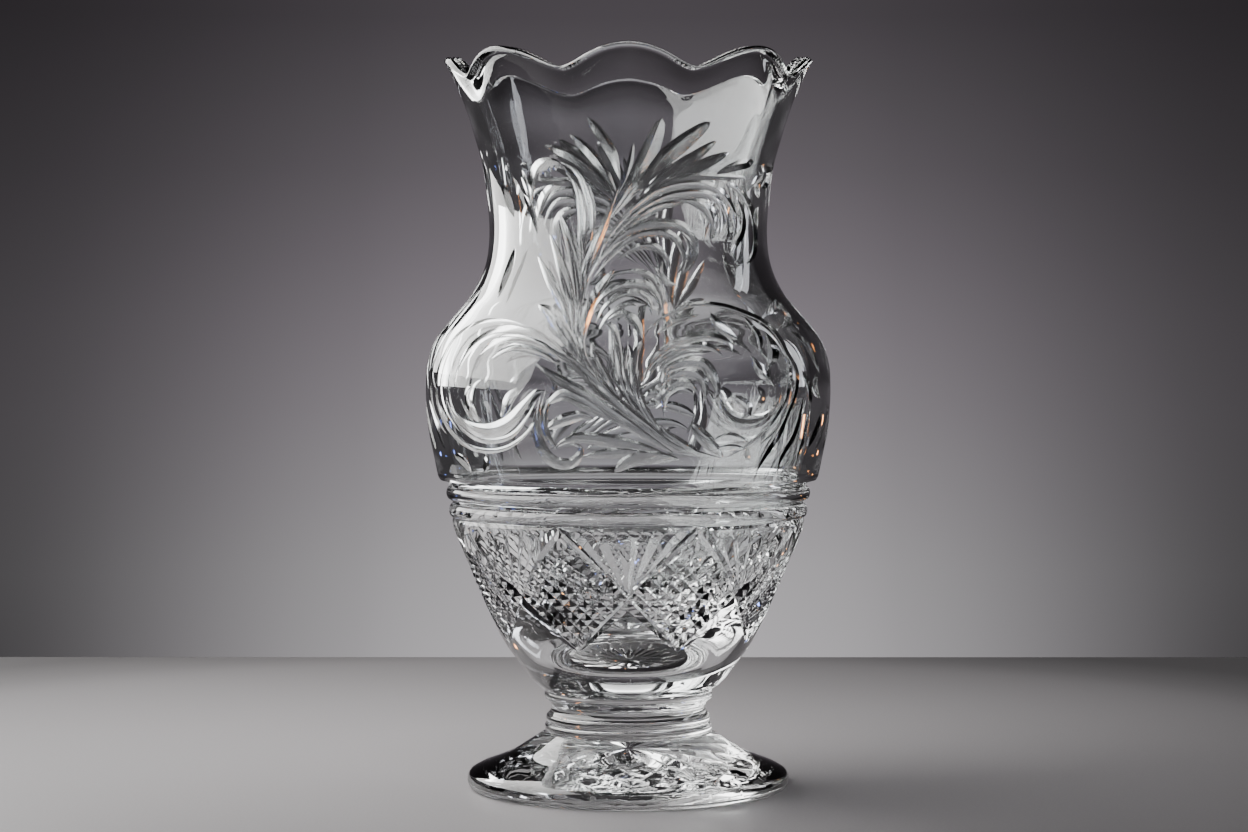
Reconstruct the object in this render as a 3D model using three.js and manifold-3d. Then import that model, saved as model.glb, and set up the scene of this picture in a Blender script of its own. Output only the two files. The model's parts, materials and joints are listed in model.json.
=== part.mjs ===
// A footed vase of cut crystal: a blown bowl with a scalloped lip, joined hot to a merese,
// a short stem, a lower merese and a spread foot. Millimetres, +Z up, the origin at the
// centre of the foot's underside. Angles are in degrees round the axis from the front (-Y).
import * as THREE from "three";
import { mergeVertices } from "three/addons/utils/BufferGeometryUtils.js";
import Module from "manifold-3d";

const wasm = await Module();
wasm.setup();

// Heights. Each joint between two gathers of glass is a thin gap.
const VASE_HEIGHT = 300;
const NECK_HEIGHT = 228;
const BELLY_HEIGHT = 166;
const BOWL_BASE = 40.2;
const STEM_TOP = 36.8;
const STEM_BASE = 30.6;
const FOOT_TOP = 23.4;
const JOINT_GAP = 0.3;

// Radii
const LIP_RADIUS = 75.6;
const NECK_RADIUS = 57;
const BELLY_RADIUS = 83.2;
const BAND_RADIUS = 74.4;
const JOINT_RADIUS = 34;
const WAIST_DEPTH = 1.8;
const FOOT_RADIUS = 66.2;

// The lip
const LIP_WALL = 7.2;
const SCALLOPS = 8;
const SCALLOP_DEPTH = 8.8;
const SCALLOP_FOOT = 272;

// The hollow, whose wall is thickest low down, under the deep cutting
const NECK_WALL = 6.6;
const BELLY_WALL = 8;
const HOLLOW_FLOOR = 56.8;

// The turned band round the middle, between the leaf cutting and the diamonds
const BAND_TOP = 128.4;
const BAND_BASE = 110;
const BEAD_HEIGHT = 5;
const GROOVE_DEPTH = 2.2;

// The diamonds: eight fans, each over a crossing of mitre cuts
const FANS = 8;
const CROSSING_HEIGHT = 82;
const DIAMOND_BASE = 60;
const MITRE_WIDTH = 4.4;
const MITRE_DEPTH = 2.4;
const FAN_RAYS = 3;
const FAN_SPREAD = 20;
const RAY_WIDTH = 3;
const RAY_DEPTH = 1.8;
const CUT_OVERRUN = 1.2;

// The foot's underside: a ground standing ring round a shallow recess with a star cut in it
const STANDING_RING = 56;
const RECESS_DEPTH = 0.8;
const STAR_POINTS = 16;
const STAR_HUB = 3;
const STAR_REACH = 54;
const STAR_WIDTH = 9;
const STAR_DEPTH = 2.6;

const TURNING_STEPS = 64;
const BEAD_STEPS = 3;
const CRYSTAL = { color: 0xe3e8ea, roughness: 0.04, metalness: 0 };

const smooth = (points, steps) =>
  new THREE.SplineCurve(points.map((p) => new THREE.Vector2(...p))).getPoints(steps);

// A half-round bead between two heights, standing on the given radius.
function bead(radius, from, to) {
  const middle = (from + to) / 2;
  const half = (to - from) / 2;
  const arc = new THREE.EllipseCurve(radius, middle, half * 0.7, half, -Math.PI / 2, Math.PI / 2);
  return arc.getPoints(BEAD_STEPS);
}

// A closed body of revolution from an outline of radius and height, ends on the axis.
function turned(outline) {
  return new THREE.LatheGeometry(outline, TURNING_STEPS).rotateX(Math.PI / 2);
}

function solid(geometry) {
  const bare = geometry.clone();
  bare.deleteAttribute("normal");
  bare.deleteAttribute("uv");
  const merged = mergeVertices(bare, 1e-4);
  const vertProperties = merged.attributes.position.array;
  const triVerts = new Uint32Array(merged.index.array);
  return new wasm.Manifold(new wasm.Mesh({ numProp: 3, vertProperties, triVerts }));
}

function geometryOf(body) {
  const { vertProperties, triVerts } = body.getMesh();
  const indexed = new THREE.BufferGeometry();
  indexed.setAttribute("position", new THREE.BufferAttribute(vertProperties, 3));
  indexed.setIndex(new THREE.BufferAttribute(triVerts, 1));
  const faceted = indexed.toNonIndexed();
  faceted.computeVertexNormals();
  return faceted;
}

function piece(name, geometry) {
  const mesh = new THREE.Mesh(geometry, new THREE.MeshStandardMaterial(CRYSTAL));
  mesh.name = name;
  return mesh;
}

// Radius of an outline at a height, between its two nearest points.
function radiusAt(outline, height) {
  const next = Math.max(1, outline.findIndex((p) => p.y >= height));
  const [low, high] = [outline[next - 1], outline[next]];
  const share = (height - low.y) / (high.y - low.y);
  return THREE.MathUtils.lerp(low.x, high.x, share);
}

function onWall(outline, [angle, height]) {
  const turn = THREE.MathUtils.degToRad(angle);
  const radius = radiusAt(outline, height);
  return new THREE.Vector3(radius * Math.sin(turn), -radius * Math.cos(turn), height);
}

// A wheel cut: a long octahedron, widest and deepest at its middle.
function wheelCut(middle, along, outward, half, width, depth) {
  const across = new THREE.Vector3().crossVectors(along, outward).normalize();
  const inward = new THREE.Vector3().crossVectors(across, along);
  const placed = new THREE.Matrix4().makeBasis(across, along, inward).setPosition(middle);
  const blade = new THREE.OctahedronGeometry(1).scale(width / 2, half, depth);
  return solid(blade.applyMatrix4(placed));
}

// A wheel cut on a wall of revolution between two places, each an angle and a height. The
// wall bulges over the straight line between them, so the cut lies half way down to it.
function wallCut(outline, from, to, width, depth) {
  const [angle, height] = [(from[0] + to[0]) / 2, (from[1] + to[1]) / 2];
  const crown = onWall(outline, [angle, height]);
  const upward = onWall(outline, [angle, height + 1]).sub(crown);
  const outward = new THREE.Vector3(-crown.y, crown.x, 0).cross(upward).normalize();
  const [start, end] = [onWall(outline, from), onWall(outline, to)];
  const middle = start.clone().add(end).multiplyScalar(0.5).lerp(crown, 0.5);
  const half = (start.distanceTo(end) / 2) * CUT_OVERRUN;
  return wheelCut(middle, end.sub(start).normalize(), outward, half, width, depth);
}

// Bowl ---------------------------------------------------------------------------------

const lowerWall = smooth(
  [[JOINT_RADIUS + 0.9, BOWL_BASE], [40.5, 46], [51.4, 61.5], [60, 78.5], [72.6, BAND_BASE]],
  7,
);
const upperWall = smooth(
  [
    [77.6, BAND_TOP],
    [82, 150],
    [BELLY_RADIUS, BELLY_HEIGHT],
    [80.4, 181.5],
    [73.6, 191.5],
    [62.5, 206],
    [NECK_RADIUS, NECK_HEIGHT],
    [61, 256],
    [68.4, 283],
    [LIP_RADIUS, VASE_HEIGHT],
  ],
  15,
);
const innerWall = smooth(
  [
    [LIP_RADIUS - LIP_WALL, VASE_HEIGHT],
    [60.8, 280],
    [53.4, 254],
    [NECK_RADIUS - NECK_WALL, NECK_HEIGHT],
    [56, 206],
    [68, 188],
    [BELLY_RADIUS - BELLY_WALL, BELLY_HEIGHT],
    [70, 130],
    [62, 106],
    [46, 80],
    [27, 62.5],
    [0, HOLLOW_FLOOR],
  ],
  11,
);

// Two beads with a groove above, between and below them.
const beadSpace = (BAND_TOP - BAND_BASE - 2 * BEAD_HEIGHT) / 3;
const band = [0, 1].flatMap((n) => {
  const base = BAND_BASE + beadSpace / 2 + n * (BEAD_HEIGHT + beadSpace);
  return bead(BAND_RADIUS - GROOVE_DEPTH, base, base + BEAD_HEIGHT);
});
const bandShelf = new THREE.Vector2(BAND_RADIUS, BAND_TOP - beadSpace / 2);
const outerWall = [...lowerWall, ...band, bandShelf, ...upperWall];

// The cut lip rises and falls in smooth crests; the wall under it keeps its flare.
function scallopLip(geometry) {
  const place = geometry.attributes.position;
  const point = new THREE.Vector3();
  for (let i = 0; i < place.count; i++) {
    point.fromBufferAttribute(place, i);
    const rise = (point.z - SCALLOP_FOOT) / (VASE_HEIGHT - SCALLOP_FOOT);
    if (rise <= 0) continue;
    const wave = (1 - Math.cos(SCALLOPS * Math.atan2(point.x, -point.y))) / 2;
    const height = point.z - SCALLOP_DEPTH * wave * rise;
    const shrink = radiusAt(upperWall, height) / radiusAt(upperWall, point.z);
    place.setXYZ(i, point.x * shrink, point.y * shrink, height);
  }
  return geometry;
}

function diamondCuts() {
  const step = 360 / FANS;
  const cuts = [];
  for (let fan = 0; fan < FANS; fan++) {
    const middle = fan * step;
    const crossing = [middle, CROSSING_HEIGHT];
    for (const side of [-step / 2, step / 2]) {
      const top = [middle + side, BAND_BASE - 1];
      const foot = [middle + side, DIAMOND_BASE];
      cuts.push(wallCut(lowerWall, crossing, top, MITRE_WIDTH, MITRE_DEPTH));
      cuts.push(wallCut(lowerWall, foot, crossing, MITRE_WIDTH, MITRE_DEPTH));
    }
    for (let ray = 0; ray < FAN_RAYS; ray++) {
      const lean = FAN_SPREAD * (ray / (FAN_RAYS - 1) - 0.5);
      const top = [middle + lean, BAND_BASE - 1.5];
      cuts.push(wallCut(lowerWall, crossing, top, RAY_WIDTH, RAY_DEPTH));
    }
  }
  return cuts;
}

const bowlOutline = [new THREE.Vector2(0, BOWL_BASE), ...outerWall, ...innerWall];
const blownBowl = solid(scallopLip(turned(bowlOutline)));
const cutBowl = diamondCuts().reduce((body, cut) => body.subtract(cut), blownBowl);

// Stem ---------------------------------------------------------------------------------

// A short disc of glass whose rim is a row of beads.
function merese(base, top, beads) {
  const height = (top - base) / beads;
  const rim = [];
  for (let n = 0; n < beads; n++) {
    rim.push(...bead(JOINT_RADIUS - 1, base + n * height, base + (n + 1) * height));
  }
  return turned([new THREE.Vector2(0, base), ...rim, new THREE.Vector2(0, top)]);
}

const stemTop = STEM_TOP - JOINT_GAP;
const stemWaist = smooth(
  [
    [JOINT_RADIUS - 0.8, STEM_BASE],
    [JOINT_RADIUS - WAIST_DEPTH, (STEM_BASE + stemTop) / 2],
    [JOINT_RADIUS - 0.8, stemTop],
  ],
  4,
);
const stemOutline = [new THREE.Vector2(0, STEM_BASE), ...stemWaist, new THREE.Vector2(0, stemTop)];

// Foot ---------------------------------------------------------------------------------

const footTop = FOOT_TOP - JOINT_GAP;
const footSpread = smooth(
  [
    [62.6, 0],
    [65.4, 1.4],
    [FOOT_RADIUS, 4],
    [64.6, 7],
    [59.6, 9.6],
    [50.8, 13.2],
    [42, 18],
    [JOINT_RADIUS + 0.6, footTop],
  ],
  12,
);
const footOutline = [
  new THREE.Vector2(0, RECESS_DEPTH),
  new THREE.Vector2(STANDING_RING - RECESS_DEPTH, RECESS_DEPTH),
  new THREE.Vector2(STANDING_RING, 0),
  ...footSpread,
  new THREE.Vector2(0, footTop),
];

function starCut(point) {
  const turn = (2 * Math.PI * point) / STAR_POINTS;
  const along = new THREE.Vector3(Math.sin(turn), -Math.cos(turn), 0);
  const middle = along.clone().multiplyScalar((STAR_HUB + STAR_REACH) / 2).setZ(RECESS_DEPTH);
  const half = (STAR_REACH - STAR_HUB) / 2;
  return wheelCut(middle, along, new THREE.Vector3(0, 0, -1), half, STAR_WIDTH, STAR_DEPTH);
}

let cutFoot = solid(turned(footOutline));
for (let point = 0; point < STAR_POINTS; point++) cutFoot = cutFoot.subtract(starCut(point));

// Vase ---------------------------------------------------------------------------------

const vase = new THREE.Group();
vase.add(
  piece("bowl", geometryOf(cutBowl)),
  piece("upper_merese", merese(STEM_TOP, BOWL_BASE - JOINT_GAP, 1)),
  piece("stem", turned(stemOutline)),
  piece("lower_merese", merese(FOOT_TOP, STEM_BASE - JOINT_GAP, 2)),
  piece("foot", geometryOf(cutFoot)),
);

export default vase;
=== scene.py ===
import json
import math
import bmesh
import bpy
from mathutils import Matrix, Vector
from mathutils.bvhtree import BVHTree
from mathutils.interpolate import poly_3d_calc

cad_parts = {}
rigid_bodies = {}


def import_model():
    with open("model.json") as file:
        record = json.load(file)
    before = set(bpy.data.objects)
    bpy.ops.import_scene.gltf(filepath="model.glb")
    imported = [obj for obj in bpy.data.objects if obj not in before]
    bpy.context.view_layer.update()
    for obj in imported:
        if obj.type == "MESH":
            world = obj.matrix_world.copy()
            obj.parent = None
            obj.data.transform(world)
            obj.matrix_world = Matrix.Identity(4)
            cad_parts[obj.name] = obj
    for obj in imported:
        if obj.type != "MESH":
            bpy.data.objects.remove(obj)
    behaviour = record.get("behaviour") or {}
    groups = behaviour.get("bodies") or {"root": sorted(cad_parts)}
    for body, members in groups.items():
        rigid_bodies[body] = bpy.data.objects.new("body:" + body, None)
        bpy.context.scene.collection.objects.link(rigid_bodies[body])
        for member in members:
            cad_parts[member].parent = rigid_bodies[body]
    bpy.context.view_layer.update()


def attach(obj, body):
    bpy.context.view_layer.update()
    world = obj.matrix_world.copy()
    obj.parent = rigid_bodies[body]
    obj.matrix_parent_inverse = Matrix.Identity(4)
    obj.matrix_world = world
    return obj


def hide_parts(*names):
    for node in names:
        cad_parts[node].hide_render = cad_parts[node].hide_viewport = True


# A footed vase of cut lead crystal. Heights and radii are in millimetres, and angles are
# in degrees round the vase, from its front (-Y) towards +X.
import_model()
mm = 0.001
crease = math.radians(34)  # facets that meet at more than this keep a crisp edge


# Shader helpers
def colour(hexCode):  # sRGB hex to linear
    parts = [int(hexCode[i:i + 2], 16) / 255 for i in (1, 3, 5)]
    return [c / 12.92 if c <= 0.04045 else ((c + 0.055) / 1.055) ** 2.4 for c in parts] + [1]


def addNode(tree, kind, settings=None, links=None):
    node = tree.nodes.new(kind)
    for name, value in (settings or {}).items():
        if isinstance(name, int) or name in node.inputs:
            node.inputs[name].default_value = value
        else:
            setattr(node, name, value)
    for name, source in (links or {}).items():
        tree.links.new(source, node.inputs[name])
    return node


def setStops(ramp, stops, blend="EASE"):
    ramp.interpolation = blend
    while len(ramp.elements) < len(stops):
        ramp.elements.new(0.5)
    for element, (place, tone) in zip(ramp.elements, stops):
        element.position = place
        element.color = colour(tone)


def setShares(ramp, stops, blend):  # a ramp of plain numbers
    ramp.interpolation = blend
    while len(ramp.elements) < len(stops):
        ramp.elements.new(0.5)
    for element, (place, share) in zip(ramp.elements, stops):
        element.position = place
        element.color = (share, share, share, 1)


# Camera
shot = {
    "distance": 1233, "eyeHeight": 192.3, "tilt": 1.83, "swing": 0.08,
    "lens": 86.5, "sensor": 36, "nearest": 20,
}
cameraData = bpy.data.cameras.new("camera")
cameraData.lens = shot["lens"]
cameraData.sensor_width = shot["sensor"]
cameraData.clip_start = shot["nearest"] * mm
camera = bpy.data.objects.new("camera", cameraData)
camera.location = (0, -shot["distance"] * mm, shot["eyeHeight"] * mm)
camera.rotation_euler = (math.radians(90 - shot["tilt"]), 0, math.radians(shot["swing"]))
bpy.context.collection.objects.link(camera)
bpy.context.scene.camera = camera
print("camera placed")


# The studio is a pale table top with a pool of light painted on it, a pool of light on the wall behind it,
# and softboxes.
studio = {
    "tableHalf": 474, "tableThick": 30, "tableRoughness": 0.42,
    "tableGrain": 1.1,  # coarser than real sprayed paint, so that it shows
    "paintedPoolCentre": (-20, 100),  # the centre of the pool of light painted on the table
    "low": -0.4, "high": 0.6,  # the wall is graded by the rise of each direction, between these
    # name, place, aim, width, height, watts, colour, and whether it shows only through the glass
    "lights": [
        ("key softbox", (-560, 120, 530), (0, 0, 170), 1270, 780, 23, "#fffefc", False),
        ("fill strip", (900, 350, 500), (0, 0, 170), 120, 700, 1.6, "#f6f8ff", False),
        ("rim softbox", (0, -60, 1300), (0, 0, 300), 700, 220, 2.2, "#ffffff", False),
        ("warm glint", (450, 900, 80), (0, 0, 120), 36, 36, 0.07, "#ffa45c", True),
        ("cool glint", (-500, 850, 60), (0, 0, 120), 30, 30, 0.03, "#7c96ff", True),
    ],
}


def makeWorld():
    world = bpy.data.worlds.new("studio")
    bpy.context.scene.world = world
    world.use_nodes = True
    tree = world.node_tree
    tree.nodes.clear()
    place = addNode(tree, "ShaderNodeTexCoord")
    axes = addNode(tree, "ShaderNodeSeparateXYZ", links={0: place.outputs["Generated"]})
    rise = addNode(tree, "ShaderNodeMapRange", {
        "From Min": studio["low"], "From Max": studio["high"]}, {"Value": axes.outputs["Z"]})
    # the unlit wall, dark grey
    wall = addNode(tree, "ShaderNodeValToRGB", links={"Fac": rise.outputs[0]})
    setStops(wall.color_ramp, [
        (0.0, "#3c3a3c"), (0.28, "#3d3b3d"), (0.317, "#474547"), (0.37, "#474447"),
        (0.4, "#444144"), (0.45, "#393639"), (0.5, "#2e2b2e"), (0.7, "#232123"), (1.0, "#1c1b1c"),
    ], "LINEAR")
    # the pool of light on it, brightest at the level of the table
    pool = addNode(tree, "ShaderNodeValToRGB", links={"Fac": rise.outputs[0]})
    setStops(pool.color_ramp, [
        (0.0, "#504e50"), (0.18, "#989598"), (0.287, "#bdbabd"), (0.317, "#aeabae"), (0.343, "#9d999d"),
        (0.37, "#8b868b"), (0.397, "#7b757b"), (0.423, "#6b656b"), (0.45, "#5a555a"),
        (0.477, "#4c484c"), (0.5, "#403c40"), (0.62, "#221f22"), (0.85, "#000000"),
    ], "LINEAR")
    # how much of the pool is left towards either side
    aside = addNode(tree, "ShaderNodeMath", {"operation": "ABSOLUTE"}, {0: axes.outputs["X"]})
    fall = addNode(tree, "ShaderNodeValToRGB", links={"Fac": aside.outputs[0]})
    setShares(fall.color_ramp, [
        (0.0, 1.0), (0.04, 0.94), (0.069, 0.82), (0.089, 0.69), (0.129, 0.4),
        (0.169, 0.15), (0.203, 0.03), (0.24, 0.0)], "B_SPLINE")
    total = addNode(tree, "ShaderNodeVectorMath", {"operation": "MULTIPLY_ADD"}, {
        0: pool.outputs[0], 1: fall.outputs[0], 2: wall.outputs[0]})
    lit = addNode(tree, "ShaderNodeBackground", links={"Color": total.outputs[0]})
    addNode(tree, "ShaderNodeOutputWorld", links={"Surface": lit.outputs[0]})


# MDF board with sprayed satin paint: a pale grey that shines only at a low angle, with a pool of light
# painted on it that gets darker towards the edges
def makeTable():
    material = bpy.data.materials.new("MDF, sprayed with satin paint, pool of light painted on")
    material.use_nodes = True
    tree = material.node_tree
    shader = tree.nodes["Principled BSDF"]
    shader.inputs["Roughness"].default_value = studio["tableRoughness"]
    place = addNode(tree, "ShaderNodeTexCoord")
    grain = addNode(tree, "ShaderNodeTexNoise", {"Scale": 1 / (studio["tableGrain"] * mm), "Detail": 3},
                    {"Vector": place.outputs["Object"]})
    tint = addNode(tree, "ShaderNodeValToRGB", links={"Fac": grain.outputs["Fac"]})
    setStops(tint.color_ramp, [(0.3, "#908d8f"), (0.7, "#979496")])
    # painted light: a pool of the key light is painted on the table, darker with the distance in metres
    # from its centre towards the edges
    paintedPoolCentre = Vector((*studio["paintedPoolCentre"], 0)) * mm
    away = addNode(tree, "ShaderNodeVectorMath", {
        "operation": "DISTANCE", 1: paintedPoolCentre}, {0: place.outputs["Object"]})
    # painted shade: the share of the painted pool of light left at each distance
    edge = addNode(tree, "ShaderNodeValToRGB", links={"Fac": away.outputs["Value"]})
    setShares(edge.color_ramp, [
        (0.1, 1.0), (0.19, 0.86), (0.27, 0.71), (0.33, 0.6), (0.36, 0.53), (0.4, 0.38), (0.46, 0.24)],
        "LINEAR")
    # the paint's tint times the painted pool of light
    paint = addNode(tree, "ShaderNodeVectorMath", {"operation": "MULTIPLY"}, {
        0: tint.outputs[0], 1: edge.outputs[0]})
    tree.links.new(paint.outputs[0], shader.inputs["Base Color"])
    bm = bmesh.new()
    bmesh.ops.create_cube(bm, size=1)
    size = (2 * studio["tableHalf"] * mm, 2 * studio["tableHalf"] * mm, studio["tableThick"] * mm)
    bmesh.ops.scale(bm, verts=bm.verts, vec=size)
    bmesh.ops.translate(bm, verts=bm.verts, vec=(0, 0, -studio["tableThick"] * mm / 2))
    mesh = bpy.data.meshes.new("table")
    bm.to_mesh(mesh)
    bm.free()
    table = bpy.data.objects.new("table", mesh)
    mesh.materials.append(material)
    bpy.context.collection.objects.link(table)


def makeLight(name, at, towards, width, height, watts, tone, onlyGlass):
    light = bpy.data.lights.new(name, "AREA")
    light.shape = "RECTANGLE"
    light.size = width * mm
    light.size_y = height * mm
    light.energy = watts
    light.color = colour(tone)[:3]
    lamp = bpy.data.objects.new(name, light)
    lamp.location = Vector(at) * mm
    aim = (Vector(towards) - Vector(at)).to_track_quat("-Z", "Y")
    lamp.rotation_euler = aim.to_euler()
    lamp.visible_camera = False
    lamp.visible_diffuse = not onlyGlass
    lamp.visible_glossy = not onlyGlass
    bpy.context.collection.objects.link(lamp)


makeWorld()
makeTable()
for light in studio["lights"]:
    makeLight(*light)
print("studio lit")


# Crystal
# haze: the size of the patches that handling leaves, and the noise levels where they start and end.
# rough: the roughness between the patches and in them. wave and grain: how wide and how deep, in
# millimetres. grainStretch squeezes the grain in height. tones: the tint between and in the patches.
crystal = {"ior": 1.545, "haze": 30, "hazeLow": 0.35, "hazeHigh": 0.7}
finishes = {
    # the blown wall: clear and bright, with slow waves that bend whatever is seen through it
    "lead crystal, wheel polished": {
        "rough": (0, 0.03), "wave": (14, 0.02), "grain": (0.8, 0.0004),
        "grainStretch": 1, "tones": ("#f3f6f7", "#fbfcfc")},
    # deep cuts dipped in acid: they sparkle hard, with edges a little softened by the dip
    "lead crystal, wheel cut and acid polished": {
        "rough": (0, 0.05), "wave": (6, 0.012), "grain": (0.7, 0.003),
        "grainStretch": 1, "tones": ("#eff2f3", "#fafbfb")},
    # shallow engraving left as it comes off a fine stone: silvery grey and satin against clear
    "lead crystal, engraved with a fine wheel": {
        "rough": (0.1, 0.24), "wave": (5, 0.01), "grain": (0.5, 0.012),
        "grainStretch": 5, "tones": ("#e9ecee", "#f4f6f6")},
    # the stem and the top of the foot, never touched by a wheel: the wettest, smoothest shine
    "lead crystal, fire polished": {
        "rough": (0, 0.02), "wave": (18, 0.03), "grain": (1, 0.0003),
        "grainStretch": 1, "tones": ("#f4f7f7", "#fcfcfc")},
}


def makeCrystal(name):
    finish = finishes[name]
    material = bpy.data.materials.new(name)
    material.use_nodes = True
    tree = material.node_tree
    shader = tree.nodes["Principled BSDF"]
    shader.inputs["Transmission Weight"].default_value = 1
    shader.inputs["IOR"].default_value = crystal["ior"]
    place = addNode(tree, "ShaderNodeTexCoord")
    haze = addNode(tree, "ShaderNodeTexNoise", {"Scale": 1 / (crystal["haze"] * mm), "Detail": 4},
                   {"Vector": place.outputs["Object"]})
    rough = addNode(tree, "ShaderNodeMapRange", {
        "From Min": crystal["hazeLow"], "From Max": crystal["hazeHigh"],
        "To Min": finish["rough"][0], "To Max": finish["rough"][1]}, {"Value": haze.outputs["Fac"]})
    tree.links.new(rough.outputs[0], shader.inputs["Roughness"])
    tint = addNode(tree, "ShaderNodeValToRGB", links={"Fac": haze.outputs["Fac"]})
    setStops(tint.color_ramp, [(0.3, finish["tones"][0]), (0.7, finish["tones"][1])])
    tree.links.new(tint.outputs[0], shader.inputs["Base Color"])
    size, depth = finish["wave"]
    wave = addNode(tree, "ShaderNodeTexNoise", {"Scale": 1 / (size * mm), "Detail": 0},
                   {"Vector": place.outputs["Object"]})
    swell = addNode(tree, "ShaderNodeBump", {"Strength": 1, "Distance": depth * mm},
                    {"Height": wave.outputs["Fac"]})
    size, depth = finish["grain"]
    stretch = addNode(tree, "ShaderNodeMapping", {"Scale": (1, 1, finish["grainStretch"])},
                      {"Vector": place.outputs["Object"]})
    scratch = addNode(tree, "ShaderNodeTexNoise", {"Scale": 1 / (size * mm), "Detail": 2},
                      {"Vector": stretch.outputs[0]})
    grain = addNode(tree, "ShaderNodeBump", {"Strength": 1, "Distance": depth * mm},
                    {"Height": scratch.outputs["Fac"], "Normal": swell.outputs[0]})
    tree.links.new(grain.outputs[0], shader.inputs["Normal"])
    return material


# Gathers joined while hot leave no surface between them, so the eye goes straight through
def makeFusedJoint():
    material = bpy.data.materials.new("fused crystal joint")
    material.use_nodes = True
    tree = material.node_tree
    tree.nodes.clear()
    clear = addNode(tree, "ShaderNodeBsdfTransparent")
    addNode(tree, "ShaderNodeOutputMaterial", links={"Surface": clear.outputs[0]})
    return material


polished, wheelCut, satinCut, firePolished = (makeCrystal(name) for name in finishes)
fused = makeFusedJoint()
glassSlots = {"wall": 0, "wheelCut": 1, "satinCut": 2, "fused": 3}
bowlMaterials = [polished, wheelCut, satinCut, fused]
footMaterials = [firePolished, wheelCut, satinCut, fused]
print("crystal mixed")


# Turned glass
def smoothPath(points, steps):  # Catmull-Rom through every point
    path = []
    last = len(points) - 1
    for step in range(steps + 1):
        at = step * last / steps
        i = min(int(at), last - 1)
        t = at - i
        a, b, c, d = (points[max(0, min(last, i + k))] for k in (-1, 0, 1, 2))
        path.append(tuple(
            0.5 * (2 * q + (r - p) * t + (2 * p - 5 * q + 4 * r - s) * t * t
                   + (3 * q - p - 3 * r + s) * t ** 3)
            for p, q, r, s in zip(a, b, c, d)))
    return path


def bead(radius, base, top, proud, steps=8):
    half = (top - base) / 2
    turn = [math.pi * (k / steps - 0.5) for k in range(steps + 1)]
    return [(radius + proud * math.cos(a), base + half + half * math.sin(a)) for a in turn]


def spinOutline(outline, steps):  # an outline of (radius, height), with its ends on the axis
    bm = bmesh.new()
    rim = [bm.verts.new((0, -r * mm, z * mm)) for r, z in outline]
    edges = [bm.edges.new(pair) for pair in zip(rim, rim[1:])]
    bmesh.ops.spin(bm, geom=rim + edges, cent=(0, 0, 0), axis=(0, 0, 1),
                   angle=2 * math.pi, steps=steps, use_merge=True)
    bmesh.ops.remove_doubles(bm, verts=bm.verts, dist=1e-6)
    bmesh.ops.recalc_face_normals(bm, faces=bm.faces)
    return bm


def finishMesh(bm, name, materials):
    mesh = bpy.data.meshes.new(name)
    bm.to_mesh(mesh)
    bm.free()
    for material in materials:
        mesh.materials.append(material)
    piece = bpy.data.objects.new(name, mesh)
    bpy.context.collection.objects.link(piece)
    return piece


# The bowl. Its outlines are (radius, height), up the outside and then down the inside.
bowl = {
    "base": 40.05, "top": 300, "turns": 192,
    "scallops": 8, "scallopDepth": 8.8, "scallopFoot": 258, "scallopSoftness": 0.3,
    "scallopGrowth": 1.5,  # how the dip of a scallop grows from its foot to the lip
    "lower": [
        (34.6, 40.05), (35.4, 41.2), (39.3, 44.6), (45.4, 52.4), (51.2, 60.8),
        (59.4, 77.3), (66.4, 93.7), (71, 105), (72.4, 110.2)],
    "lowerSteps": 36,
    "beads": [(71.8, 111.6, 117.6, 1.9), (72.8, 118.8, 124.6, 2.0)],  # radius, base, top, how proud
    "shoulder": [(73.6, 125.6), (75.4, 126.4), (77.4, 127.2), (78.1, 128.4)],
    "upper": [
        (78.3, 129.2), (79.8, 136.5), (81.9, 147), (82.9, 158), (83, 167), (82.2, 175.5),
        (78.6, 185), (71.8, 193.6), (64, 203), (58.8, 214), (57, 226), (57.6, 240),
        (59.6, 255), (63.2, 268), (67.4, 281), (71.9, 291.6), (75.1, 297.4)],
    "upperSteps": 80,
    "lip": [
        (75.3, 298.2), (75.1, 299), (74.5, 299.7), (73.7, 300), (69.3, 300), (68.6, 299.7), (68.2, 299.1)],
    "inner": [
        (68, 298.4), (65, 290.5), (60.6, 279), (56, 265), (52.6, 251), (50.8, 238), (50.4, 226),
        (52, 214), (57.2, 202), (65, 191.5), (72, 181.5), (75, 170), (75.2, 158), (74, 146),
        (71, 131), (66, 115), (58.5, 99), (49, 84.5), (37.5, 71.5), (25, 61.5), (12, 57.4), (0, 56.8)],
    "innerSteps": 60,
}
lowerWall = smoothPath(bowl["lower"], bowl["lowerSteps"])
upperWall = smoothPath(bowl["upper"], bowl["upperSteps"])
innerWall = smoothPath(bowl["inner"], bowl["innerSteps"])
innerWall[-1] = bowl["inner"][-1]  # exactly on the axis


def wallRadius(wall, height):
    below, above = wall[0], wall[-1]
    for a, b in zip(wall, wall[1:]):
        if a[1] <= height <= b[1]:
            below, above = a, b
            break
    share = (height - below[1]) / (above[1] - below[1])
    return below[0] + (above[0] - below[0]) * share


def scallop(angle):  # 0 on a crest and 1 in a valley, with broad crests and tight valleys
    soft = bowl["scallopSoftness"]
    swing = math.cos(math.radians(angle) * bowl["scallops"] / 2)
    high = math.hypot(1, soft)
    return (high - math.hypot(swing, soft)) / (high - soft)


def lipHeight(angle):
    return bowl["top"] - bowl["scallopDepth"] * scallop(angle)


def lipLean(angle):  # the lip leans in where it dips, as the flare under it does
    top = upperWall[-1][1]
    return wallRadius(upperWall, top) - wallRadius(upperWall, top - bowl["scallopDepth"] * scallop(angle))


def onWall(wall, angle, height):
    turn = math.radians(angle)
    r = wallRadius(wall, height)
    return Vector((r * math.sin(turn), -r * math.cos(turn), height))


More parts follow.
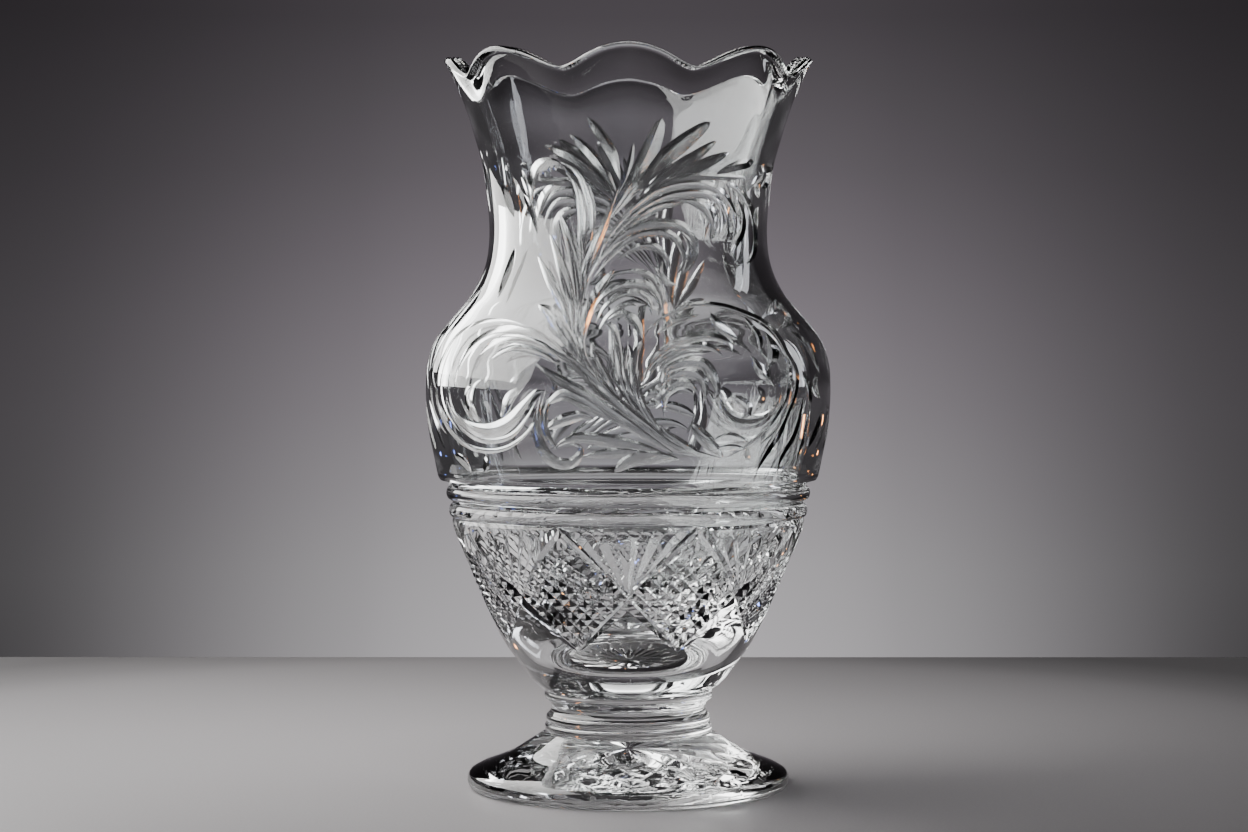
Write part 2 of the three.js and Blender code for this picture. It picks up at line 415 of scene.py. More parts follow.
def offWall(wall, angle, height):  # the direction straight out of the wall
    turn = math.radians(angle)
    slope = (wallRadius(wall, height + 1) - wallRadius(wall, height - 1)) / 2
    return Vector((math.sin(turn), -math.cos(turn), -slope)).normalized()


# Wheel cuts: each is a long wedge, taken out of the glass with a Boolean. The wheel's edge is
# a section, in shares of the half width and the depth of the cut.
wheel = {
    "mitre": [(0, -1)],
    "leafGroove": [(-0.45, -1), (0.08, -0.84), (0.6, -0.42)],  # steep on one side, shallow on the other
    "tip": 0.05,  # how far a pointed end stands off the wall
    "clear": 0.25, "clearShare": 0.3,  # how far the wedge stands out of the glass, and its share of depth
    "finest": 0.02,  # a half width under which a cut has run out
    "plump": 0.8,  # under 1, a pointed cut is fuller
    "fanTurn": 0.86,  # where along it a fanned cut starts to round off
    "samples": 24,  # for each place that a stroke passes through
    "fewest": 6,  # steps along even the shortest cut
}


# Stations are (point, outward, half width, depth) along a cut, in millimetres
def sweepCut(bm, stations, section, slot, closed=False):
    rings = []
    count = len(stations)
    for i, (point, outward, half, depth) in enumerate(stations):
        before = stations[(i - 1) % count if closed else max(0, i - 1)][0]
        after = stations[(i + 1) % count if closed else min(count - 1, i + 1)][0]
        across = (after - before).cross(outward).normalized()
        if half == 0:
            rings.append([bm.verts.new((point + outward * wheel["tip"]) * mm)])
            continue
        rise = wheel["clear"] + wheel["clearShare"] * depth
        flare = half * (1 + rise / depth)
        corners = [(-flare, rise)] + [(x * half, y * depth) for x, y in section] + [(flare, rise)]
        rings.append([bm.verts.new((point + across * x + outward * y) * mm) for x, y in corners])
    sides = len(section) + 2
    pairs = list(zip(rings, rings[1:])) + ([(rings[-1], rings[0])] if closed else [])
    for a, b in pairs:
        for k in range(sides):
            corners = [a[k % len(a)], a[(k + 1) % len(a)], b[(k + 1) % len(b)], b[k % len(b)]]
            face = bm.faces.new(list(dict.fromkeys(corners)))
            face.material_index = slot
    for ring in (rings[0], rings[-1]):
        if len(ring) > 1 and not closed:
            bm.faces.new(ring).material_index = slot


def pointed(swell):  # both ends pointed, and widest at swell, a share of the length
    power = math.log(0.5) / math.log(swell)
    return lambda t: math.sin(math.pi * t ** power) ** wheel["plump"] if 0 < t < 1 else 0


def fanned(t):  # opens steadily from a point to a round end
    turn = wheel["fanTurn"]
    return t / turn if t < turn else math.sqrt(max(0, 1 - ((t - turn) / (1 - turn)) ** 2))


def even(t):
    return 1


def trailing(t):  # even, and pointed at its far end
    return 1 if t < 0.5 else max(0, math.sin(math.pi * t)) ** wheel["plump"]


# A cut along the wall through (angle, height) places. keel is its depth over its width.
def strokeStations(wall, places, width, keel, swelling, pitch):
    dense = smoothPath(places, wheel["samples"] * len(places))
    points = [onWall(wall, *place) for place in dense]
    run = [0]
    for a, b in zip(points, points[1:]):
        run.append(run[-1] + (b - a).length)
    count = max(wheel["fewest"], round(run[-1] / pitch))
    stations = []
    i = 0
    for k in range(count + 1):
        goal = run[-1] * k / count
        while i < len(run) - 2 and run[i + 1] < goal:
            i += 1
        share = (goal - run[i]) / (run[i + 1] - run[i])
        angle = dense[i][0] + (dense[i + 1][0] - dense[i][0]) * share
        height = dense[i][1] + (dense[i + 1][1] - dense[i][1]) * share
        half = width / 2 * swelling(k / count)
        half = 0 if half < wheel["finest"] else half
        stations.append((onWall(wall, angle, height), offWall(wall, angle, height),
                         half, 2 * half * keel))
    return stations


def smoothShade(piece, uncut):
    # Cut facets stay crisp. What is left of the blown wall takes the shading of the wall
    # before it was cut, so the slivers round each cut don't show.
    mesh = piece.data
    mesh.polygons.foreach_set("use_smooth", [True] * len(mesh.polygons))
    mesh.set_sharp_from_angle(angle=crease)
    uncut.set_sharp_from_angle(angle=crease)
    tree = BVHTree.FromPolygons([v.co for v in uncut.vertices],
                                [p.vertices for p in uncut.polygons])
    corners = uncut.corner_normals
    inset = 0.05  # the share of the way into its face that each corner is looked up from
    shading = [Vector()] * len(mesh.loops)
    for face in mesh.polygons:
        if face.material_index != glassSlots["wall"]:
            continue
        for loop in face.loop_indices:
            point = mesh.vertices[mesh.loops[loop].vertex_index].co
            near, _, index, _ = tree.find_nearest(point + (face.center - point) * inset)
            old = uncut.polygons[index]
            weights = poly_3d_calc([uncut.vertices[v].co for v in old.vertices], near)
            total = Vector()
            for weight, corner in zip(weights, old.loop_indices):
                total += corners[corner].vector * weight
            shading[loop] = total.normalized()
    materials = [face.material_index for face in mesh.polygons]
    sides = {}
    for face in mesh.polygons:
        for edge in face.edge_keys:
            sides.setdefault(edge, set()).add(materials[face.index])
    for edge in mesh.edges:
        if len(sides[edge.key]) > 1:
            edge.use_edge_sharp = True
    mesh.normals_split_custom_set(shading)


def makeCutter(bm, name, materials, group):
    bmesh.ops.recalc_face_normals(bm, faces=bm.faces)
    cutter = finishMesh(bm, name, materials)
    bpy.context.collection.objects.unlink(cutter)
    group.objects.link(cutter)


def repeatCut(name, group, turns, cuts, slot):
    bm = bmesh.new()
    for turn in turns:
        for stations, section in cuts(turn):
            sweepCut(bm, stations, section, glassSlots[slot])
    makeCutter(bm, name, bowlMaterials, group)


# The band of diamonds: mitre cuts that cross eight times, with a fan over each
# crossing and a field of small pyramids in each diamond between
diamonds = {
    "fans": 8, "crossing": 82, "foot": 60.5, "top": 110.4,
    "mitreWidth": 5.4, "mitreKeel": 0.33, "mitrePitch": 2,
    # where a mitre bends: its share of the way from one fan to halfway to the next, and its height
    "bendAbove": (0.46, 95.3), "bendBelow": (0.5, 70.6),
    "rays": 5, "rayWidth": 8.8, "rayKeel": 0.2, "rayFoot": 83, "rayTop": 109, "rayPitch": 2,
    "hatch": 8, "hatchTop": 99.5, "hatchWidth": 4.0, "hatchKeel": 0.28, "hatchPitch": 3,
    "hatchMargin": 0.02,  # how far the hatching stops short of the mitres, as a share of a side
}


def cutDiamonds(group):
    step = 360 / diamonds["fans"]
    half = step / 2
    turns = [k * step for k in range(diamonds["fans"])]
    crossing, foot, top = diamonds["crossing"], diamonds["foot"], diamonds["top"]
    for lean in (-1, 1):
        def slant(turn):
            (above, aboveHeight), (below, belowHeight) = diamonds["bendAbove"], diamonds["bendBelow"]
            places = [(turn - lean * half, top), (turn - lean * half * above, aboveHeight),
                      (turn, crossing),
                      (turn + lean * half * below, belowHeight), (turn + lean * half, foot)]
            stations = strokeStations(lowerWall, places, diamonds["mitreWidth"],
                                      diamonds["mitreKeel"], trailing, diamonds["mitrePitch"])
            return [(stations, wheel["mitre"])]
        repeatCut("mitre", group, turns, slant, "wheelCut")
    for ray in range(diamonds["rays"]):
        lean = step * ((ray + 1) / (diamonds["rays"] + 1) - 0.5)

        def wedge(turn):
            places = [(turn, diamonds["rayFoot"]),
                      (turn + lean / 2, (crossing + diamonds["rayTop"]) / 2),
                      (turn + lean, diamonds["rayTop"])]
            return [(strokeStations(lowerWall, places, diamonds["rayWidth"], diamonds["rayKeel"],
                                    fanned, diamonds["rayPitch"]), wheel["mitre"])]
        repeatCut("ray", group, turns, wedge, "wheelCut")
    # u and v run from a diamond's foot to its two side corners
    rise = crossing - foot
    reach = (top - foot) / (2 * rise)
    limit = (diamonds["hatchTop"] - foot) / rise
    margin = diamonds["hatchMargin"]
    for lean in (-1, 1):
        for parity in (0, 1):
            def rows(turn):
                cuts = []
                for row in range(1, diamonds["hatch"]):
                    if row % 2 != parity:
                        continue
                    v = row / diamonds["hatch"]
                    u = min(1 + (reach - 1) * v / reach, limit - v) - margin
                    middle = turn + half
                    places = [(middle + lean * half * (share - v), foot + rise * (share + v))
                              for share in (margin, u / 2, u)]
                    stations = strokeStations(lowerWall, places, diamonds["hatchWidth"],
                                              diamonds["hatchKeel"], even, diamonds["hatchPitch"])
                    cuts.append((stations, wheel["mitre"]))
                return cuts
            repeatCut("hatch", group, turns, rows, "wheelCut")


# The lip: cut across with small notches and once round its middle
lipCuts = {
    "notches": 232, "notchWidth": 1.9, "notchDepth": 0.62, "notchInner": 67, "notchOuter": 72.6,
    "notchTip": 73.6, "rings": (70.4, 72.2), "ringWidth": 1.5, "ringDepth": 0.5, "ringSteps": 384,
}


def notchStations(angle):
    turn = math.radians(angle)
    middle = (lipCuts["notchInner"] + lipCuts["notchOuter"]) / 2
    # how steeply the lip climbs here, over one degree of it
    slope = (lipHeight(angle + 0.5) - lipHeight(angle - 0.5)) / (math.radians(1) * middle)
    outward = Vector((-slope * math.cos(turn), -slope * math.sin(turn), 1)).normalized()
    radial = Vector((math.sin(turn), -math.cos(turn), 0))
    stations = []
    for r, share in ((lipCuts["notchInner"], 1), (lipCuts["notchOuter"], 1), (lipCuts["notchTip"], 0)):
        point = radial * (r - lipLean(angle)) + Vector((0, 0, lipHeight(angle)))
        stations.append((point, outward, lipCuts["notchWidth"] / 2 * share, lipCuts["notchDepth"]))
    return stations


def cutLip(group):
    for parity in (0, 1):  # every other notch, so those in one cutter stay apart
        bm = bmesh.new()
        for k in range(parity, lipCuts["notches"], 2):
            stations = notchStations(360 * k / lipCuts["notches"])
            sweepCut(bm, stations, wheel["mitre"], glassSlots["wheelCut"])
        makeCutter(bm, "lip notches", bowlMaterials, group)
    for radius in lipCuts["rings"]:
        bm = bmesh.new()
        ring = []
        for k in range(lipCuts["ringSteps"]):
            turn = 2 * math.pi * k / lipCuts["ringSteps"]
            r = radius - lipLean(math.degrees(turn))
            point = Vector((r * math.sin(turn), -r * math.cos(turn), lipHeight(math.degrees(turn))))
            ring.append((point, Vector((0, 0, 1)), lipCuts["ringWidth"] / 2, lipCuts["ringDepth"]))
        sweepCut(bm, ring, wheel["mitre"], glassSlots["wheelCut"], closed=True)
        makeCutter(bm, "lip ring", bowlMaterials, group)


# The leaves: a plume of blades over scrolls of acanthus, engraved on the front and again on
# the back. Each stroke is its width, where along it is widest, and its (angle, height) places.
leaves = {
    "blades": [
        (4.6, 0.42, [(-33, 261), (-22.5, 257), (-13, 250), (-5, 241)]),
        (4.4, 0.42, [(-21.5, 265), (-15, 258.5), (-9, 250.5), (-4.5, 242.5)]),
        (4.8, 0.42, [(-14.5, 271.5), (-10.5, 265.5), (-6, 257.5), (-3, 247)]),
        (2.6, 0.45, [(2, 261.5), (1, 255.5), (-1, 248), (-4.5, 240.5)]),
        (7.4, 0.34, [(12, 271), (9.5, 262.5), (5.5, 253), (-0.5, 243.5), (-8, 231.5)]),
        (7.4, 0.34, [(30.5, 270), (21.5, 262.5), (12.5, 254.5), (3, 244.5), (-6.5, 232.5)]),
        (4.8, 0.4, [(34.5, 263), (26.5, 257), (16, 250.5), (5.5, 242.5)]),
        (4.8, 0.4, [(41.5, 258.5), (32, 254.5), (21.5, 249.5), (8.5, 242)]),
        (4.4, 0.35, [(57.5, 255.5), (44.5, 253), (34, 248.5)]),
        (3.2, 0.45, [(58, 249), (39.5, 249), (23.5, 248.5), (11, 243.5), (-1, 234), (-9, 224.5)]),
        (2.0, 0.5, [(-14.5, 241.5), (-10.5, 241), (-6.5, 239)]),
        (2.0, 0.5, [(-14, 237.5), (-10.5, 237), (-7, 235.5)]),
        (2.0, 0.5, [(-13.5, 233), (-10.5, 233), (-8, 232.5)]),
        (4.2, 0.4, [(-5, 212.5), (-11, 203.5), (-13, 194), (-13, 184), (-10.5, 175.5)]),
    ],
    "leaves": [
        (4.6, 0.45, [(-33, 226.5), (-27.5, 215.5), (-21.5, 203), (-16, 188)]),
        (4.8, 0.42, [(-28.5, 234.5), (-24, 224), (-20, 211.5), (-16.5, 195.5)]),
        (4.8, 0.42, [(-24.5, 251), (-20.5, 243.5), (-18.5, 233.5), (-18.5, 223), (-18, 210.5)]),
        (3.6, 0.5, [(-27, 254.5), (-20.5, 251), (-16.5, 243.5), (-14.5, 234), (-15, 223)]),
        (5.0, 0.5, [(-43, 236.5), (-41, 246), (-36.5, 252.5), (-29.5, 254), (-24, 251)]),
        (3.8, 0.5, [(-40, 229.5), (-37, 238), (-32, 244), (-26.5, 245)]),
        (3.6, 0.4, [(-45.5, 252), (-44.5, 244.5), (-41.5, 236.5)]),
        (3.4, 0.4, [(-46, 242.5), (-41.5, 234.5), (-39, 226)]),
        (4.2, 0.45, [(-38.5, 218), (-31, 209), (-22.5, 198.5), (-16, 187)]),
        (6.2, 0.42, [(-31.5, 198.5), (-25, 194.5), (-18, 186), (-12.5, 175.5)]),
        (5.2, 0.45, [(-52, 221.5), (-54, 210.5), (-52.5, 200.5)]),
        (5.0, 0.5, [(-60.5, 249), (-57.5, 242), (-52.5, 233)]),
        (1.8, 0.5, [(-40, 251.5), (-36, 247)]),
        (1.8, 0.5, [(-36.5, 253.5), (-33.5, 248.5)]),
        (1.8, 0.5, [(-33, 254.5), (-31, 250)]),
        (1.8, 0.5, [(-30, 255), (-29, 250.5)]),
        (3.4, 0.5, [(-3.5, 245), (-9, 231.5), (-14, 220), (-17.5, 207), (-16.5, 195.5), (-15, 186)]),
        (3.0, 0.5, [(-6, 234.5), (-11.5, 224), (-15.5, 213.5), (-16.5, 201), (-14.5, 189.5)]),
        (3.4, 0.6, [(-12.5, 213.5), (-7.5, 225), (1.5, 235.5), (13, 243), (26, 245.5),
                 (37.5, 243.5), (46.5, 236.5), (49, 230), (47, 223.5)]),
        (3.4, 0.6, [(-9, 219.5), (-3.5, 227.5), (5.5, 235.5), (16, 240.5), (27.5, 242), (36, 240.5),
                 (42, 235), (44, 228), (41.5, 221.5)]),
        (3.0, 0.6, [(-4, 224), (4.5, 232.5), (14, 237), (24, 238.5)]),
        (5.6, 0.62, [(19, 239.5), (29, 238), (35, 233.5), (36.5, 228.5), (34, 223.5)]),
        (2.6, 0.6, [(31, 243), (38, 240), (40.5, 234), (40, 226.5)]),
        (4.4, 0.6, [(36, 248), (48, 244.5), (57, 238.5), (63.5, 230), (62, 220.5), (53, 214.5)]),
        (4.0, 0.6, [(46.5, 242.5), (53, 235), (53.5, 228.5), (48.5, 223.5), (45.5, 220),
                 (47.5, 215.5)]),
        (4.0, 0.6, [(-16, 206), (-10.5, 216.5), (-3, 224.5), (6, 229), (15.5, 230), (22.5, 228.5),
                 (27, 223.5), (27, 217.5), (23, 211.5)]),
        (3.4, 0.6, [(-13.5, 208), (-6.5, 217.5), (2, 224.5), (11, 226.5), (18, 225), (21.5, 220),
                 (22, 214.5), (18.5, 210.5)]),
        (4.0, 0.6, [(20, 228), (25, 223), (25, 216.5), (21, 210.5)]),
        (3.0, 0.55, [(-5, 215.5), (3, 220.5), (10, 221), (15, 216.5), (16, 211.5)]),
        (3.4, 0.5, [(13.5, 216), (11.5, 211.5), (14, 207), (18, 206)]),
        (3.6, 0.6, [(-11.5, 192.5), (-10, 199.5), (-4.5, 205), (2.5, 206.5), (8, 205),
                 (10.5, 199.5), (9, 193.5)]),
        (3.0, 0.6, [(-10, 190.5), (-7.5, 197.5), (-2.5, 202), (3.5, 203), (7, 200), (7.5, 194.5)]),
        (3.4, 0.6, [(-5, 211), (2.5, 211.5), (8.5, 209), (11.5, 202.5), (11, 196.5)]),
        (2.6, 0.5, [(-8.5, 189.5), (-5.5, 194.5), (-0.5, 198.5), (4, 197.5)]),
        (4.2, 0.5, [(-7, 192), (-2, 195), (2, 191.5), (4, 185)]),
        (4.8, 0.5, [(-8.5, 188.5), (-7, 191.5), (-4.5, 188.5), (-3.5, 179), (-2, 168), (2, 157)]),
        (4.4, 0.5, [(4, 185), (1.5, 178), (1, 170), (2.5, 160.5), (6.5, 151)]),
        (4.0, 0.5, [(0, 183.5), (-1.5, 176), (-0.5, 167.5), (3.5, 156.5)]),
        (3.8, 0.5, [(-10.5, 185), (-9, 178), (-6, 170), (-2.5, 162.5)]),
        (3.4, 0.5, [(3, 174), (2.5, 165.5), (4.5, 157.5), (9.5, 147)]),
    ],
    "scrolls": [
        (2.6, 0.5, [(-12.5, 172.5), (-18.5, 181), (-27, 187.5), (-39, 191.5), (-51.5, 192),
                 (-60.5, 187.5), (-64.5, 178.5), (-67.5, 169), (-66.5, 158), (-59.5, 148.5),
                 (-51, 142.5), (-42, 141), (-34, 143.5), (-27.5, 150), (-24, 158.5), (-22.5, 166.5)]),
        (2.6, 0.5, [(-68.5, 189.5), (-71, 178.5), (-73.5, 166.5), (-70.5, 156), (-62, 146.5)]),
        (2.2, 0.5, [(-61, 162.5), (-56.5, 153), (-48.5, 146.5), (-40.5, 145), (-33.5, 147.5),
                 (-28.5, 154), (-25, 162)]),
        (4.8, 0.5, [(-15.5, 177.5), (-23.5, 185), (-34, 188.5), (-44, 187.5), (-50.5, 182),
                 (-54.5, 173.5), (-56, 164)]),
        (4.6, 0.5, [(-17, 176), (-25, 182.5), (-34, 185.5), (-41, 184), (-46, 178.5)]),
        (3.6, 0.5, [(-18.5, 175), (-25.5, 180), (-33, 182), (-38, 180), (-41, 177)]),
        (6.0, 0.5, [(-58.5, 158), (-51, 150.5), (-42, 148.5), (-34.5, 152), (-29, 159.5), (-25, 166)]),
        (4.6, 0.5, [(-29.5, 166), (-33.5, 162.5), (-35.5, 157), (-37, 153.5)]),
        (5.0, 0.5, [(-46.5, 166.5), (-49.5, 160), (-45, 152)]),
        (4.2, 0.5, [(-60, 139), (-54.5, 136), (-51.5, 131.5)]),
        (3.8, 0.5, [(-44.5, 140.5), (-44, 137), (-46, 132.5)]),
        (4.6, 0.5, [(-16, 187.5), (-12.5, 177), (-8.5, 169.5), (-3, 160.5), (4.5, 151.5),
                 (13.5, 143), (27.5, 138.5)]),
        (5.2, 0.5, [(-25.5, 181.5), (-18, 179), (-11.5, 172), (-6, 164), (1, 154.5), (9, 146.5)]),
        (5.6, 0.45, [(-26, 175.5), (-18.5, 169), (-11, 162.5), (-3.5, 155.5), (4.5, 148), (13, 140.5)]),
        (5.6, 0.5, [(-22.5, 159.5), (-17, 163.5), (-10, 159), (-4.5, 153.5)]),
        (4.6, 0.5, [(-23.5, 149.5), (-18, 153.5), (-12.5, 155.5), (-9, 154)]),
        (5.4, 0.5, [(-20.5, 143.5), (-14, 147), (-6.5, 146), (2, 143.5), (11.5, 140)]),
        (4.4, 0.5, [(-13, 139.5), (-5.5, 141), (1.5, 141), (9.5, 139.5)]),
        (6.0, 0.45, [(-4, 133.5), (1, 138.5), (7, 139.5), (14.5, 138.5)]),
        (4.8, 0.5, [(-24, 163.5), (-25.5, 152), (-24.5, 143), (-21, 137.5), (-16, 137), (-13, 141),
                 (-13.5, 144), (-16.5, 144.5)]),
        (3.2, 0.5, [(-21.5, 163), (-23, 155), (-22.5, 148), (-19.5, 142)]),
        (3.2, 0.5, [(4, 185), (7.5, 190.5), (14.5, 195.5), (23.5, 198.5), (32.5, 198), (40, 195.5),
                 (47, 191.5), (49.5, 185), (50.5, 177.5), (50, 169), (47, 160), (42, 151.5),
                 (34.5, 143.5), (27.5, 138.5)]),
        (3.0, 0.5, [(30, 197.5), (39.5, 194.5), (46.5, 189), (50, 180.5), (53.5, 171), (52, 162.5),
                 (47, 152.5), (38.5, 143)]),
        (4.2, 0.5, [(51, 160), (46.5, 149.5), (42, 141), (39, 132.5)]),
        (3.8, 0.5, [(56.5, 162), (53.5, 149), (48.5, 138.5), (48, 131)]),
        (3.2, 0.5, [(60.5, 157.5), (58.5, 145.5), (56.5, 137)]),
        (5.4, 0.5, [(27, 195.5), (28.5, 189.5), (33, 184.5)]),
        (3.2, 0.5, [(39, 194.5), (41, 187), (39, 178.5)]),
        (5.4, 0.6, [(36, 179), (38, 173.5), (42, 169.5)]),
        (6.0, 0.5, [(44.5, 187.5), (45, 181), (41.5, 174)]),
        (3.4, 0.5, [(8, 187), (14.5, 192), (23, 194.5)]),
        (4.4, 0.6, [(3.5, 166), (5.5, 174), (10.5, 181), (17.5, 185), (24, 186), (29.5, 183.5),
                 (30, 178.5)]),
        (3.8, 0.6, [(5, 169), (7.5, 175), (13.5, 180.5), (20, 182.5), (24.5, 181), (27, 177.5)]),
        (3.2, 0.6, [(7.5, 171), (11, 177), (16.5, 180), (22, 179.5)]),
        (5.0, 0.6, [(3.5, 164), (9, 167.5), (11, 173.5), (16.5, 176), (21, 175), (23.5, 169.5),
                 (24.5, 164.5), (22.5, 160.5)]),
        (4.4, 0.6, [(8, 162.5), (11, 169.5), (15.5, 172), (19.5, 170.5), (21, 165.5), (20.5, 161)]),
        (4.4, 0.6, [(9.5, 155), (10, 163.5), (13, 167.5), (17, 167.5), (18.5, 164)]),
        (4.0, 0.5, [(4.5, 163), (7, 164.5), (9.5, 165.5)]),
        (3.2, 0.5, [(4.5, 159), (6.5, 160), (8.5, 161)]),
        (4.0, 0.6, [(46, 162.5), (42, 155), (36, 152), (30, 153), (26.5, 157.5), (25.5, 162.5)]),
        (4.4, 0.6, [(26, 160), (29, 162), (32.5, 160), (34.5, 157), (32, 154)]),
        (5.4, 0.45, [(17, 153.5), (20, 148), (27.5, 139)]),
        (4.4, 0.5, [(23, 145), (28.5, 146.5), (35, 145)]),
        (3.2, 0.5, [(24, 142.5), (29.5, 142.5), (35, 142)]),
        (4.4, 0.5, [(8.5, 152.5), (10.5, 148), (16, 143), (21.5, 139.5)]),
        (4.6, 0.5, [(50.5, 194.5), (63.5, 198.5), (63, 193.5), (53, 189)]),
        (4.8, 0.5, [(57.5, 188), (62, 184), (65, 177.5), (68, 171)]),
        (5.2, 0.5, [(67, 172), (63.5, 166), (68, 161)]),
        (4.0, 0.5, [(56, 172.5), (60.5, 164.5), (60, 156)]),
        (4.4, 0.5, [(70.5, 156), (67, 149.5), (62, 141)]),
        (5.0, 0.5, [(69, 254.5), (76.5, 250), (66.5, 246)]),
        (4.4, 0.5, [(60, 246.5), (64.5, 243.5), (66, 241.5)]),
        (4.0, 0.5, [(65.5, 238), (64, 233.5), (66.5, 230)]),
    ],
    "sprig": [
        (4.6, 0.4, [(90, 262), (89, 252), (90, 238)]),
        (4.2, 0.4, [(79, 258), (83, 248), (89, 236)]),
        (4.2, 0.4, [(101, 258), (97, 248), (91, 236)]),
        (4.6, 0.5, [(90, 214), (87, 200), (89, 186), (94, 172)]),
        (4.6, 0.5, [(84, 206), (82, 192), (86, 178), (93, 164)]),
        (4.6, 0.5, [(97, 206), (99, 190), (97, 174), (94, 160)]),
        (5.2, 0.4, [(78, 140), (84, 150), (92, 160)]),
        (5.2, 0.4, [(106, 140), (101, 150), (94, 160)]),
    ],
}
leafCuts = {
    "repeats": 2, "pitch": 2,
    # the wheel's edge for each group of strokes, and the depth of a cut over its width
    "blades": ("mitre", 0.32), "leaves": ("leafGroove", 0.31),
    "scrolls": ("leafGroove", 0.31), "sprig": ("mitre", 0.32),
}


def engraveLeaves(group):
    turns = [k * 360 / leafCuts["repeats"] for k in range(leafCuts["repeats"])]
    for part, strokes in leaves.items():
        section, keel = leafCuts[part]
        for width, swell, places in strokes:
            def stroke(turn):
                path = [(angle + turn, height) for angle, height in places]
                return [(strokeStations(upperWall, path, width, keel, pointed(swell),
                                        leafCuts["pitch"]), wheel[section])]
            repeatCut("leaf " + part, group, turns, stroke, "satinCut")


def cutGlass(piece, group):
    boolean = piece.modifiers.new("wheel cutting", "BOOLEAN")
    boolean.operation = "DIFFERENCE"
    boolean.operand_type = "COLLECTION"
    boolean.collection = group
    boolean.solver = "MANIFOLD"
    boolean.material_mode = "INDEX"
    uncut = piece.data.copy()
    bpy.context.view_layer.update()
    ready = piece.evaluated_get(bpy.context.evaluated_depsgraph_get())
    cut = bpy.data.meshes.new_from_object(ready)
    cutSlots = (glassSlots["wheelCut"], glassSlots["satinCut"])
    if not any(face.material_index in cutSlots for face in cut.polygons):
        raise RuntimeError("the wheel cuts left no mark on " + piece.name)
    piece.modifiers.clear()
    piece.data = cut
    for cutter in list(group.objects):
        bpy.data.objects.remove(cutter)
    bpy.data.collections.remove(group)
    return uncut


def makeBowl():
    beads = [place for rounded in bowl["beads"] for place in bead(*rounded)]
    outside = lowerWall + beads + bowl["shoulder"] + upperWall
    bm = spinOutline([(0, bowl["base"])] + outside + bowl["lip"] + innerWall, bowl["turns"])
    for vert in bm.verts:  # the lip dips, and the flare under it keeps its line
        x, y, z = vert.co / mm
        rise = (z - bowl["scallopFoot"]) / (bowl["top"] - bowl["scallopFoot"])
        if rise <= 0:
            continue
        angle = math.degrees(math.atan2(x, -y))
        dip = bowl["scallopDepth"] * scallop(angle) * rise ** bowl["scallopGrowth"]
        top = min(upperWall[-1][1], z)
        lean = wallRadius(upperWall, top) - wallRadius(upperWall, top - dip)
        shrink = 1 - lean / math.hypot(x, y)
        vert.co = Vector((x * shrink, y * shrink, z - dip)) * mm
    for face in bm.faces:
        face.smooth = True
        height = face.calc_center_median().z / mm
        if abs(face.normal.z) > 0.9 and height < bowl["base"] + 0.1:  # its flat underside
            face.material_index = glassSlots["fused"]
    piece = finishMesh(bm, "bowl_crystal", bowlMaterials)
    group = bpy.data.collections.new("bowl cuts")
    cutLip(group)
    cutDiamonds(group)
    engraveLeaves(group)
    smoothShade(piece, cutGlass(piece, group))
    print("bowl cut", len(piece.data.polygons), "faces")
    return piece


# The stem: three gathers between the bowl and the foot
stem = {
    "turns": 128, "radius": 33.2,
    "upperBase": 36.65, "waistBase": 30.45, "lowerBase": 23.25,  # the heights where the gathers meet
    "discOut": 0.5, "discProud": 0.9,
    "waistIn": (0.1, 1.1, 1.5, 0.9, -0.1), "waistEase": 1.4,  # how far in it goes, from base to top
    "ringHeight": 3.4, "ringGap": 0.2, "lowerRing": (0.5, 0.8), "upperRing": (-0.2, 0.9),
    "rounding": 12, "waistSteps": 20,
}


def makeTurned(name, outline, turns):  # a gather whose flat ends are fused to its neighbours
    bm = spinOutline(outline, turns)
    top, base = outline[-1][1], outline[0][1]
    for face in bm.faces:
        face.smooth = True
        height = face.calc_center_median().z / mm
        if min(abs(height - top), abs(height - base)) < 0.01:  # one of the flat ends
            face.material_index = 1
    piece = finishMesh(bm, name, [firePolished, fused])
    piece.data.set_sharp_from_angle(angle=crease)
    return piece


def makeStem():
    upper, waist, lower = stem["upperBase"], stem["waistBase"], stem["lowerBase"]
    r = stem["radius"]
    disc = bead(r + stem["discOut"], upper, bowl["base"], stem["discProud"], stem["rounding"])
    first = makeTurned("upper_merese_crystal", [(0, upper)] + disc + [(0, bowl["base"])], stem["turns"])
    heights = (waist, waist + stem["waistEase"], (waist + upper) / 2, upper - stem["waistEase"], upper)
    hollow = smoothPath([(r - depth, z) for depth, z in zip(stem["waistIn"], heights)], stem["waistSteps"])
    second = makeTurned("stem_crystal", [(0, waist)] + hollow + [(0, upper)], stem["turns"])
    middle = lower + stem["ringHeight"]
    rings = []
    for (out, proud), base, top in ((stem["lowerRing"], lower, middle),
                                    (stem["upperRing"], middle + stem["ringGap"], waist)):
        rings += bead(r + out, base, top, proud, stem["rounding"])
    third = makeTurned("lower_merese_crystal", [(0, lower)] + rings + [(0, waist)], stem["turns"])
    return first, second, third


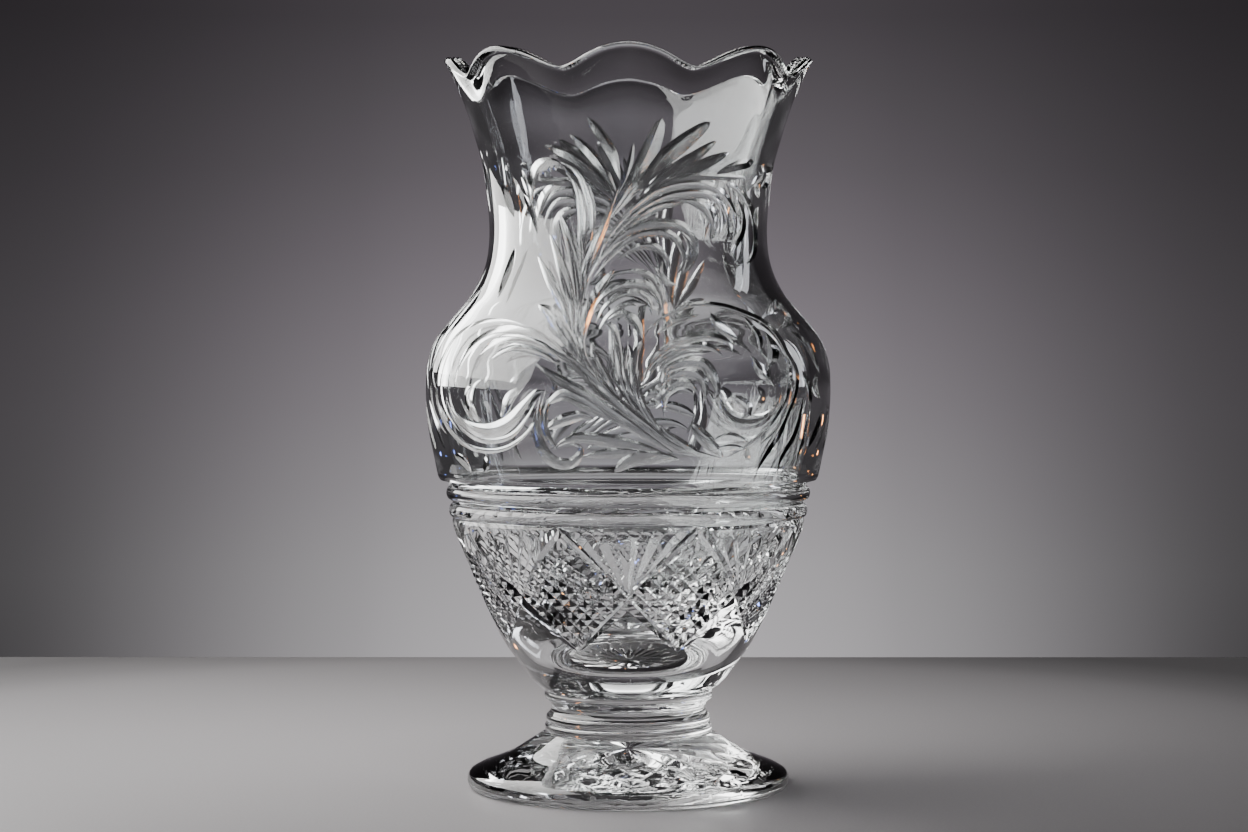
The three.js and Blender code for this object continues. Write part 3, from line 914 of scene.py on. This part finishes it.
# The foot: spread thin at the edge, with a star cut into its underside
foot = {
    "turns": 160, "ring": 56.5, "ringSlope": 0.6, "recess": 0.8, "underSteps": 12,
    "top": [
        (62.6, 0), (64.9, 0.6), (66.1, 2.4), (66.2, 4.8), (65, 7.2), (61, 9.4), (54.8, 11.8),
        (48.5, 14.4), (42.6, 18), (37.6, 21.2), (34.4, 23.25)],
    "topSteps": 56,
    "points": 20, "hub": 1, "reach": 56, "starDepth": 2.4, "starEnd": 0.05,
    "shares": (0, 0.2, 0.4, 0.6, 0.75, 0.87, 0.95, 1),  # the stations along a ray of the star
    "hubDepth": 0.2, "hubGain": 3,  # its share of the depth at the hub, and how fast it deepens
    "runOut": 0.45,  # the share of a ray over which it gets shallower again
}
footTop = smoothPath(foot["top"], foot["topSteps"])


def starStations(turn):
    radial = Vector((math.sin(turn), -math.cos(turn), 0))
    spread = math.tan(math.pi / foot["points"])
    stations = []
    for share in foot["shares"]:
        r = foot["hub"] + (foot["reach"] - foot["hub"]) * share
        runOut = min(1, (1 - share) / foot["runOut"], foot["hubDepth"] + foot["hubGain"] * share)
        stations.append((radial * r + Vector((0, 0, foot["recess"])), Vector((0, 0, -1)),
                         r * spread * (0 < share < 1), foot["starDepth"] * runOut + foot["starEnd"]))
    return stations


def makeFoot():
    top = footTop[-1][1]
    steps = foot["underSteps"]
    under = [(0, foot["recess"])]
    under += [(foot["ring"] * k / steps - foot["ringSlope"], foot["recess"]) for k in range(1, steps + 1)]
    bm = spinOutline(under + [(foot["ring"], 0)] + footTop + [(0, top)], foot["turns"])
    for face in bm.faces:
        face.smooth = True
        if face.calc_center_median().z > (top - 0.01) * mm:  # its flat top
            face.material_index = glassSlots["fused"]
    piece = finishMesh(bm, "foot_crystal", footMaterials)
    group = bpy.data.collections.new("foot cuts")
    for parity in (0, 1):  # every other ray, so those in one cutter stay apart
        bm = bmesh.new()
        for k in range(parity, foot["points"], 2):
            stations = starStations(2 * math.pi * (k + 0.5) / foot["points"])
            sweepCut(bm, stations, wheel["mitre"], glassSlots["wheelCut"])
        makeCutter(bm, "star", footMaterials, group)
    smoothShade(piece, cutGlass(piece, group))
    return piece


pieces = {"bowl": makeBowl()}
pieces["upper_merese"], pieces["stem"], pieces["lower_merese"] = makeStem()
pieces["foot"] = makeFoot()
for node, piece in pieces.items():
    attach(piece, "root")
    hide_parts(node)
print("vase assembled")
